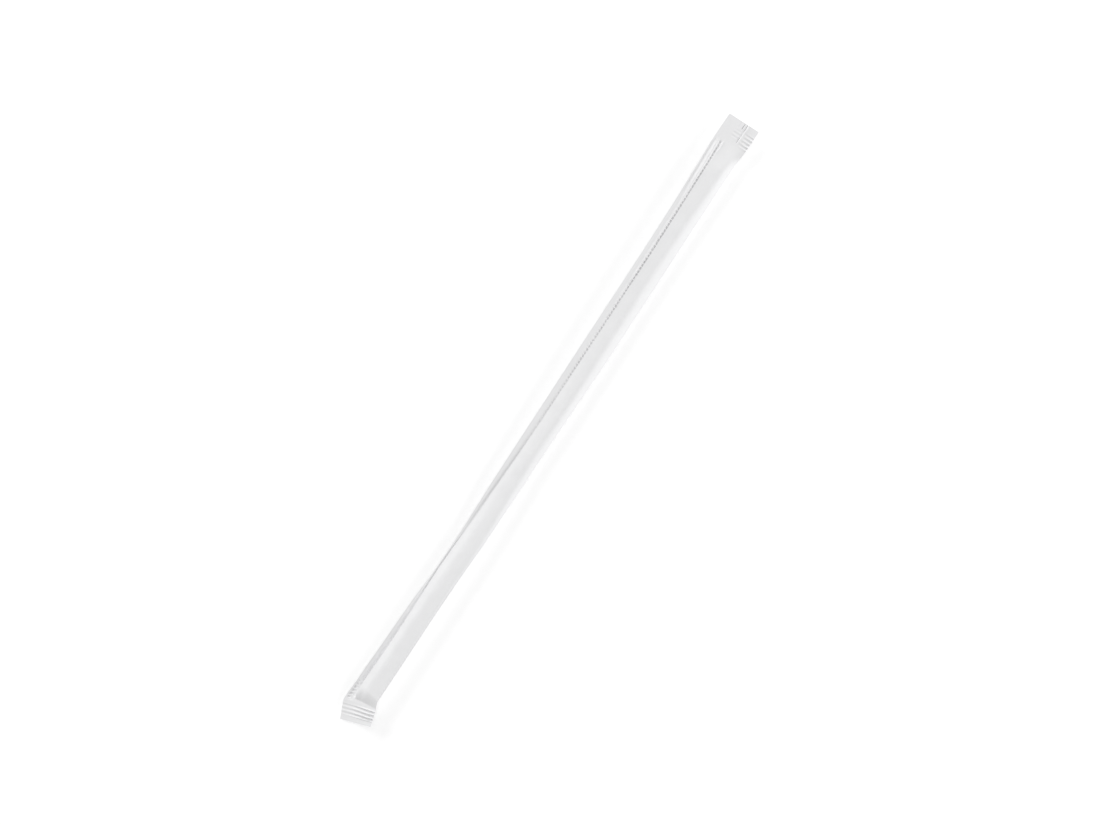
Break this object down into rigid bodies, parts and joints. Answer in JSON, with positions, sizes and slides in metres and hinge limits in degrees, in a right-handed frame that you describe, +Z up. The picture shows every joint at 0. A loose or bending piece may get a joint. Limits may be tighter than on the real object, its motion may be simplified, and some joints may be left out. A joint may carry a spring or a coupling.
{
  "type": "wrapped drinking straw",
  "caption": "Slim drinking straw sealed in a plain white paper sleeve with crimped flat ends and a pressed side seam.",
  "frame": {"origin": "on the table under the straw, half way between the two tabs' end edges", "axes": "+X along the straw to the upper tab, +Y to the pressed seam, +Z up from the table"},
  "size_m": [0.2163, 0.0135, 0.0037],
  "materials": {
    "sleeve_paper": "matte"
  },
  "bodies": {
    "root": {"wrapped_straw": "sleeve_paper"}
  },
  "joints": []
}
